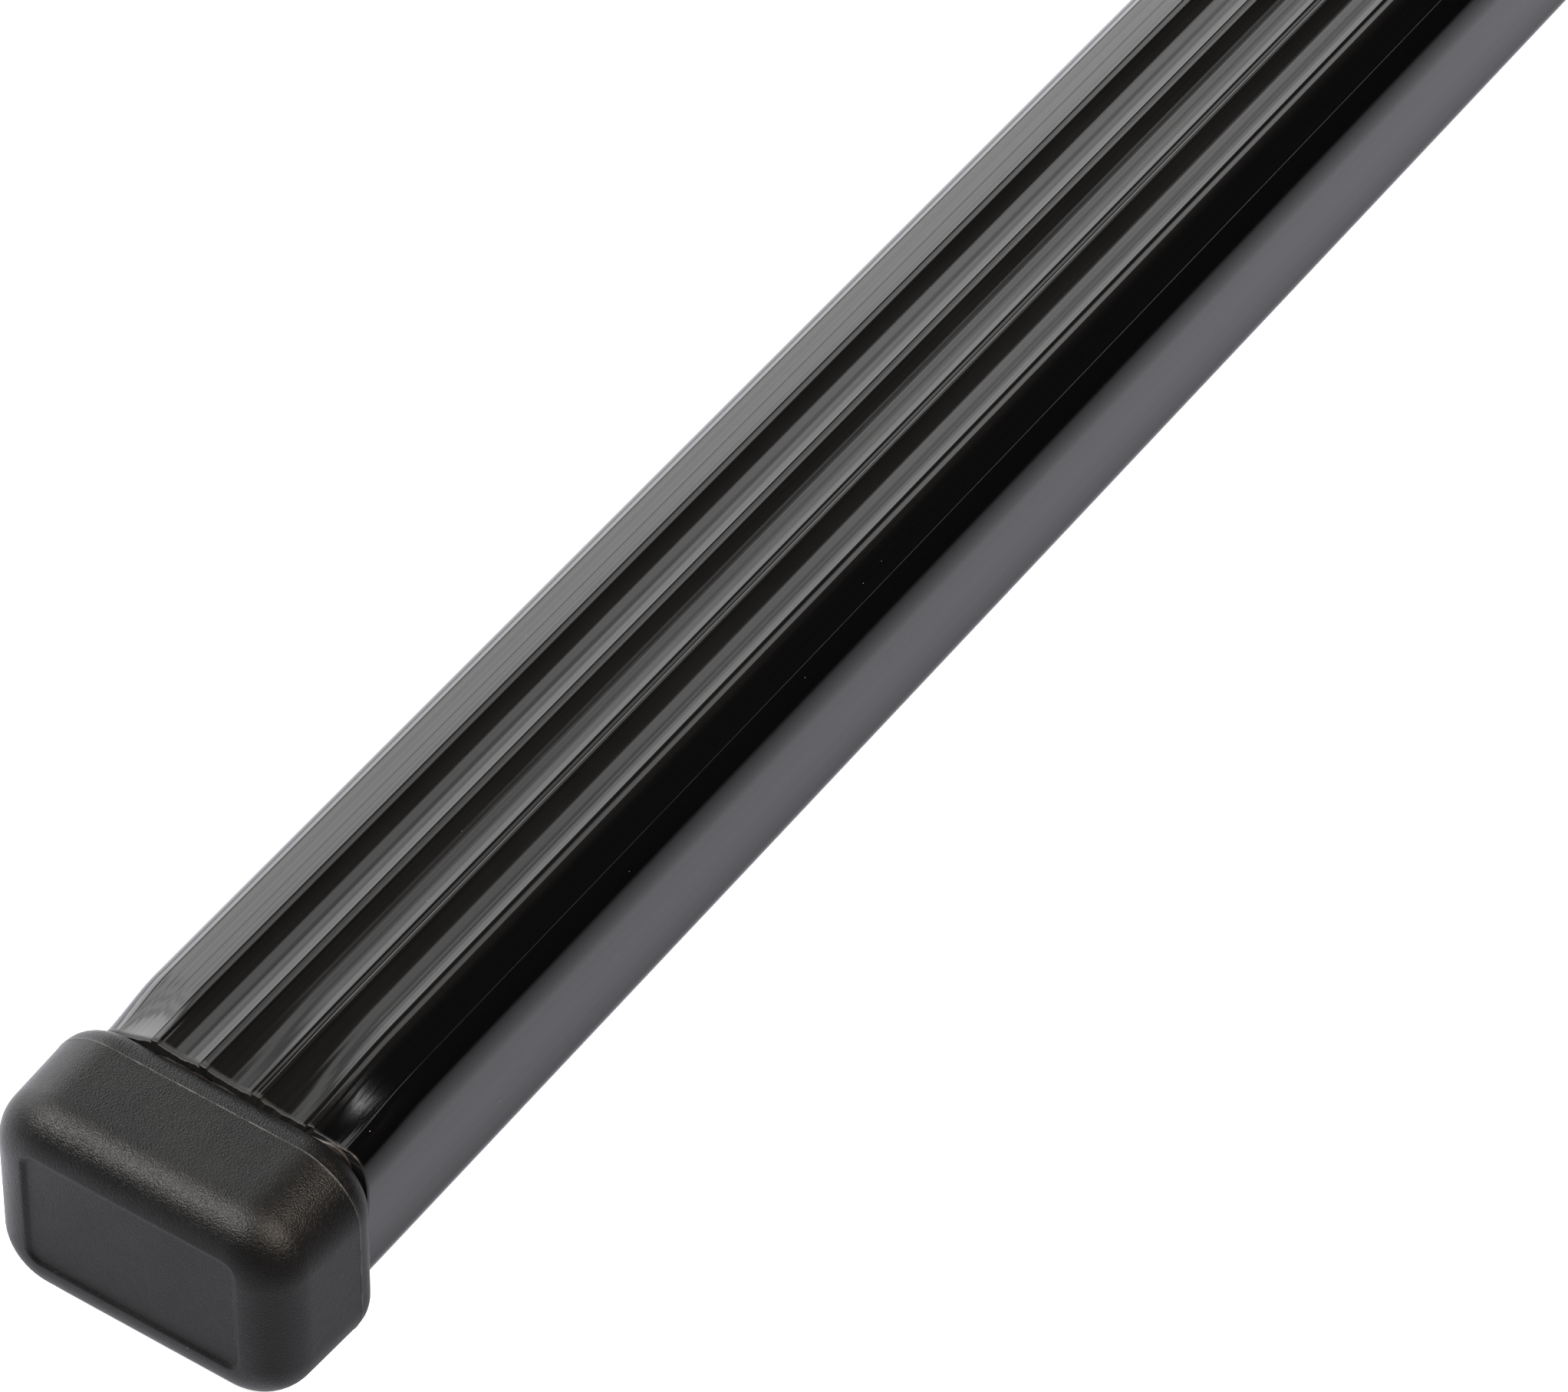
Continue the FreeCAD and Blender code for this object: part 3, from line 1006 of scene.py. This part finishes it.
@dataclass
class EndCap:
    """Moulded cap: rounded head with a shallow sunken field, and a hollow spigot with ribs."""

    end: End = End.LEFT
    finish: Finish = MatteCapFinish()
    front_x: float = -590.0
    centre_z: float = 13.5
    head_width: float = 38.1
    head_height: float = 27.0
    head_corner: float = 7.5
    draft_degrees: float = 2.0
    front_depth: float = 13.0
    rear_depth: float = 3.5
    front_round: float = 5.5
    rear_round: float = 3.1
    flash: float = 0.035
    flash_half: float = 0.07
    field_width: float = 26.0
    field_height: float = 15.6
    field_corner: float = 1.5
    field_depth: float = 0.35
    field_lift: float = 0.6
    field_edge: float = 0.7
    spigot_width: float = 25.1
    spigot_height: float = 13.8
    spigot_corner: float = 1.0
    spigot_centre_z: float = 13.9
    spigot_length: float = 22.0
    spigot_wall: float = 2.0
    spigot_taper: float = 1.2
    core_wall: float = 3.5
    crush_rib_width: float = 1.0
    crush_rib_height: float = 0.9
    crush_rib_places: Pair = (0.2, 0.8)
    long_steps: int = 46
    short_steps: int = 26
    corner_steps: int = 18
    front_steps: int = 46
    draft_steps: int = 7
    rear_steps: int = 20
    face_steps: int = 17
    crease_degrees: float = 34.0

    @property
    def name(self) -> str:
        """Name of this end's piece."""
        return f"cap_{self.end.name.lower()}"

    @property
    def node(self) -> str:
        """Name of the node that this piece stands for."""
        return f"end_cap_{self.end.name.lower()}"

    def outline(self, width: float, height: float, corner: float, centre_z: float,
                steps: tuple[int, int, int]) -> list[Pair]:
        """Rounded rectangle as points.

        Args:
            width: Size along Y.
            height: Size along Z.
            corner: Corner radius.
            centre_z: Height of its middle.
            steps: Steps on a long side, a short side and a corner.

        Returns:
            Points (y, z), starting on the upper side at -Y.
        """
        half_y, half_z = width / 2 - corner, height / 2 - corner
        corner_steps = steps[2]
        corners = ((-1, 1), (1, 1), (1, -1), (-1, -1))
        points: list[Pair] = []
        for number, (side, up) in enumerate(corners):
            first_turn = math.pi * (1 - number / 2)
            for turn in spread(first_turn, first_turn - math.pi / 2, corner_steps):
                points.append((side * half_y + corner * math.cos(turn),
                               centre_z + up * half_z + corner * math.sin(turn)))
            next_side, next_up = corners[(number + 1) % 4]
            y, z = points[-1]
            for share in spread(0.0, 1.0, steps[number % 2])[1:-1]:
                points.append((y + (next_side - side) * half_y * share,
                               z + (next_up - up) * half_z * share))
        return points

    def head_outline(self, inset: float) -> list[Pair]:
        """Outline of the head, drawn in by an inset from the parting plane's outline."""
        return self.outline(self.head_width - 2 * inset, self.head_height - 2 * inset,
                            max(0.05, self.head_corner - inset), self.centre_z,
                            (self.long_steps, self.short_steps, self.corner_steps))

    def field_share(self, y: float, z: float) -> float:
        """How far a place on the front lies in the sunken field.

        Args:
            y: Place across.
            z: Height.

        Returns:
            1 on the field's floor, 0 off it, and a soft step between.
        """
        far_y = abs(y) - (self.field_width / 2 - self.field_corner)
        far_z = abs(z - self.centre_z - self.field_lift) - self.field_height / 2 + self.field_corner
        beyond = math.hypot(max(far_y, 0.0), max(far_z, 0.0)) + min(max(far_y, far_z), 0.0)
        return 1 - eased(beyond - self.field_corner, -self.field_edge / 2, self.field_edge / 2)

    def head_profile(self) -> list[Pair]:
        """Section of the head from the rim of its flat front to its rear plane.

        Returns:
            Pairs of depth behind the front plane and inset from the parting outline.
        """
        draft = math.radians(self.draft_degrees)
        slope = math.tan(draft)
        front, middle = self.front_round, self.front_depth
        centre = (middle - front) * slope + front / math.cos(draft)
        profile = [(front * (1 - math.cos(turn)), centre - front * math.sin(turn))
                   for turn in spread(0.0, math.pi / 2 - draft, self.front_steps)]
        for depth in spread(profile[-1][0], middle - 0.25, self.draft_steps)[1:]:
            profile.append((depth, (middle - depth) * slope))
        half = self.flash_half
        profile += [(middle - half, half * slope), (middle, -self.flash),
                    (middle + half, half * slope)]
        rear = self.rear_round
        hub = middle + self.rear_depth - rear
        centre = (hub - middle) * slope + rear / math.cos(draft)
        profile += [(hub + rear * math.cos(turn), centre - rear * math.sin(turn))
                    for turn in spread(math.pi / 2 - draft, 0.0, self.rear_steps)]
        return [(depth, inset + self.flash) for depth, inset in profile]

    def spigot_outline(self, rib: float, inset: float) -> list[Pair]:
        """Outline of the spigot with two crush ribs on each side.

        Args:
            rib: How far the ribs stand out.
            inset: How far the outline is drawn in.

        Returns:
            Points (y, z).
        """
        width, height = self.spigot_width - 2 * inset, self.spigot_height - 2 * inset
        plain = self.outline(width, height, self.spigot_corner, self.spigot_centre_z, (1, 1, 4))
        points: list[Pair] = []
        for (y, z), (next_y, next_z) in zip(plain, plain[1:] + plain[:1]):
            points.append((y, z))
            length = math.hypot(next_y - y, next_z - z)
            if length < height / 2:
                continue
            along_y, along_z = (next_y - y) / length, (next_z - z) / length
            for share in self.crush_rib_places:
                for shift, rise in ((-0.5, 0.0), (-0.5, rib), (0.5, rib), (0.5, 0.0)):
                    step = share * length + shift * self.crush_rib_width
                    points.append((y + along_y * step - along_z * rise,
                                   z + along_z * step + along_y * rise))
        return points

    def build(self) -> Piece:
        """Build the cap as one closed shell.

        Returns:
            The cap's object.
        """
        shell = Shell()
        profile = self.head_profile()
        rim = self.head_outline(self.head_corner - 0.05)
        rings = []
        for share in (0.03, 0.35, 0.7, 0.9):
            inner = [(y * share, self.centre_z + (z - self.centre_z) * share) for y, z in rim]
            rings.append(self.head_ring(shell, inner, 0.0))
        insets = spread(self.head_corner - 0.1, profile[0][1], self.face_steps)
        face = [(0.0, inset) for inset in insets[:-1]]
        for depth, inset in face + profile:
            rings.append(self.head_ring(shell, self.head_outline(inset), depth))
        shell.lid(rings[0])
        shell.skins(rings)
        self.add_spigot(shell, rings[-1])
        return shell.to_object(self.name, self.crease_degrees)

    def head_ring(self, shell: Shell, outline: Sequence[Pair], depth: float) -> list[int]:
        """Add one ring of the head, sunk in where it lies in the field, and give its points."""
        sunk = [depth + (self.field_depth - depth) * self.field_share(y, z) for y, z in outline]
        return shell.ring([self.end.place(self.front_x + x, y, z)
                           for x, (y, z) in zip(sunk, outline)])

    def add_spigot(self, shell: Shell, rear_ring: Sequence[int]) -> None:
        """Add the spigot, from the rear plane of the head, and the space inside it.

        Args:
            shell: The mesh.
            rear_ring: Last ring of the head.
        """
        rear = self.front_x + self.front_depth + self.rear_depth
        tip = rear + self.spigot_length
        lead = tip - 2 * self.spigot_taper
        full = self.crush_rib_height
        plan = ((rear, full, 0.0), (lead, full, 0.0), (tip - self.spigot_taper, 0.02, 0.0),
                (tip, 0.01, self.spigot_taper / 2), (tip, 0.001, self.spigot_wall),
                (self.front_x + self.core_wall, 0.001, self.spigot_wall))
        rings = []
        for x, rib, inset in plan:
            outline = self.spigot_outline(rib, inset)
            rings.append(shell.ring([self.end.place(x, y, z) for y, z in outline]))
        shell.zip_up(rear_ring, rings[0], (0.0, self.spigot_centre_z))
        shell.skins(rings)
        shell.lid(rings[-1])

    def dress(self, piece: Piece) -> None:
        """Give the cap its finish and tie it to the frame.

        Args:
            piece: The cap's object.
        """
        piece.data.materials.append(self.finish.material())
        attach(piece, BODY)
        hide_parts(self.node)


# -------------------- the studio


@dataclass(frozen=True)
class Strip:
    """One strip of the long soft light beside the bar."""

    low_degrees: float
    high_degrees: float
    radiance: float
    start: float = -0.9
    stop: float = 1.4


@dataclass(frozen=True)
class Lamp:
    """One small soft lamp: where it stands, how wide and bright it is, and its colour."""

    name: str
    centre: Triple
    width: float
    radiance: float
    colour: Triple = (1.0, 1.0, 1.0)


@dataclass
class Studio:
    """Pale floor, plain soft lamps and a dim world."""

    floor_half: float = 3.0
    floor_drop: float = 0.0002
    finish: Finish = PaleFloorFinish()
    target: Triple = (-0.5, 0.0, 0.02)
    world_level: float = 0.02
    strip_reach: float = 1.4
    strips: tuple[Strip, ...] = (
        Strip(21.5, 30.5, 1.65, stop=0.45), Strip(21.5, 30.5, 2.1, 0.45, 0.60),
        Strip(21.5, 30.5, 2.7, start=0.60), Strip(30.5, 37.0, 0.65, stop=0.53),
        Strip(30.5, 37.0, 1.2, start=0.53), Strip(37.0, 41.0, 2.0), Strip(41.0, 44.0, 2.8),
        Strip(44.0, 47.5, 4.2), Strip(47.5, 50.5, 2.8), Strip(50.5, 55.0, 4.0),
        Strip(55.0, 60.0, 2.8), Strip(60.0, 80.0, 4.6), Strip(80.0, 88.5, 4.2))
    lamps: tuple[Lamp, ...] = (
        Lamp("key_lamp", (-1.272, 0.607, 1.325), 0.30, 140.0, (1.0, 0.97, 0.93)),
        Lamp("top_lamp", (-0.165, 0.332, 1.535), 0.10, 34.0),
        Lamp("warm_lamp", (-0.54, -0.931, 1.21), 0.52, 38.0, (1.0, 0.88, 0.78)))

    def build_floor(self) -> None:
        """Build the floor just under the caps."""
        mesh = bpy.data.meshes.new("floor")
        far, low = self.floor_half, -self.floor_drop
        corners = [(-far, -far, low), (far, -far, low), (far, far, low), (-far, far, low)]
        mesh.from_pydata(corners, [], [(0, 1, 2, 3)])
        mesh.materials.append(self.finish.material())
        floor = add_object("floor", mesh)

    def add_panel(self, name: str, centre: Vector, back: Vector, size: Pair, radiance: float,
                  colour: Triple = (1.0, 1.0, 1.0)) -> None:
        """Add a soft panel lamp.

        Args:
            name: Name of the lamp.
            centre: Place of its middle, in metres.
            back: Direction from what it lights towards the lamp.
            size: Its length along the bar and its height, in metres.
            radiance: Brightness of its face, where 1 shows as white.
            colour: Colour of its light.
        """
        data = bpy.data.lights.new(name, "AREA")
        data.shape = "RECTANGLE"
        data.size, data.size_y = size
        data.energy = radiance * math.pi * size[0] * size[1]
        data.color = colour
        lamp = add_object(name, data)
        side = Vector((1.0, 0.0, 0.0))
        side = (side - back * side.dot(back)).normalized()
        turn = Matrix((side, back.cross(side), back)).transposed()
        lamp.matrix_world = Matrix.Translation(centre) @ turn.to_4x4()
        lamp.visible_camera = False

    def build_lamps(self) -> None:
        """Build the strips of the long soft light, square to the bar, and the small lamps."""
        for number, strip in enumerate(self.strips):
            turn = math.radians((strip.low_degrees + strip.high_degrees) / 2)
            half = math.radians((strip.high_degrees - strip.low_degrees) / 2)
            back = Vector((0.0, math.sin(turn), math.cos(turn)))
            middle = Vector(((strip.start + strip.stop) / 2, 0.0, self.target[2]))
            size = (strip.stop - strip.start, 2 * self.strip_reach * math.tan(half))
            self.add_panel(f"soft_strip_{number}", middle + self.strip_reach * back, back, size,
                           strip.radiance)
        for lamp in self.lamps:
            centre = Vector(lamp.centre)
            back = (centre - Vector(self.target)).normalized()
            size = (lamp.width, lamp.width)
            self.add_panel(lamp.name, centre, back, size, lamp.radiance, lamp.colour)

    def build_world(self) -> None:
        """Make the world white to the camera and dim to everything else."""
        world = bpy.data.worlds.new("studio_world")
        bpy.context.scene.world = world
        world.use_nodes = True
        world.node_tree.nodes.clear()
        sheet = Sheet(world.node_tree)
        rays = sheet.node("ShaderNodeLightPath").outputs
        seen = sheet.math("MAXIMUM", rays["Is Camera Ray"], rays["Is Transmission Ray"])
        level = sheet.math("MAXIMUM", seen, self.world_level)
        background = sheet.node("ShaderNodeBackground", (1.0, 1.0, 1.0, 1.0), level)
        sheet.node("ShaderNodeOutputWorld", background.outputs[0])


@dataclass(frozen=True)
class Viewpoint:
    """Camera of the photograph, fitted to the edges of the bar and the outline of the cap."""

    azimuth: float = -57.027
    elevation: float = 45.398
    roll: float = -1.435
    lens: float = 186.18
    sensor: float = 36.0
    distance: float = 0.79625
    aim: Triple = (-0.525753, -0.034112, 0.060796)

    def build(self) -> None:
        """Build the camera and make it the scene's own."""
        turn, lift = math.radians(self.azimuth), math.radians(self.elevation)
        flat = math.cos(lift)
        back = Vector((math.sin(turn) * flat, -math.cos(turn) * flat, math.sin(lift)))
        right = Vector((math.cos(turn), math.sin(turn), 0.0))
        level = Matrix((right, back.cross(right), back)).transposed()
        rolled = level @ Matrix.Rotation(math.radians(-self.roll), 3, "Z")
        data = bpy.data.cameras.new("photograph_camera")
        data.lens = self.lens
        data.sensor_width = self.sensor
        data.sensor_fit = "HORIZONTAL"
        data.clip_start = 0.01
        camera = add_object("photograph_camera", data)
        stand = Matrix.Translation(Vector(self.aim) + self.distance * back)
        camera.matrix_world = stand @ rolled.to_4x4()
        bpy.context.scene.camera = camera


def report(piece: Piece) -> None:
    """Log the size of one finished piece."""
    log.info("%s: %d faces", piece.name, len(piece.data.polygons))


def main() -> None:
    """Build and dress the whole bar, then the studio round it."""
    logging.basicConfig(level=logging.INFO, format="%(name)s: %(message)s")
    bpy.context.scene.view_settings.view_transform = "Standard"
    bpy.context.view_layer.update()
    Viewpoint().build()
    report(SteelTube().dress())
    for part in (RibbedSleeve(), *(EndCap(end=end) for end in End)):
        piece = part.build()
        part.dress(piece)
        report(piece)
    studio = Studio()
    studio.build_floor()
    studio.build_lamps()
    studio.build_world()


if __name__ == "__main__":
    main()
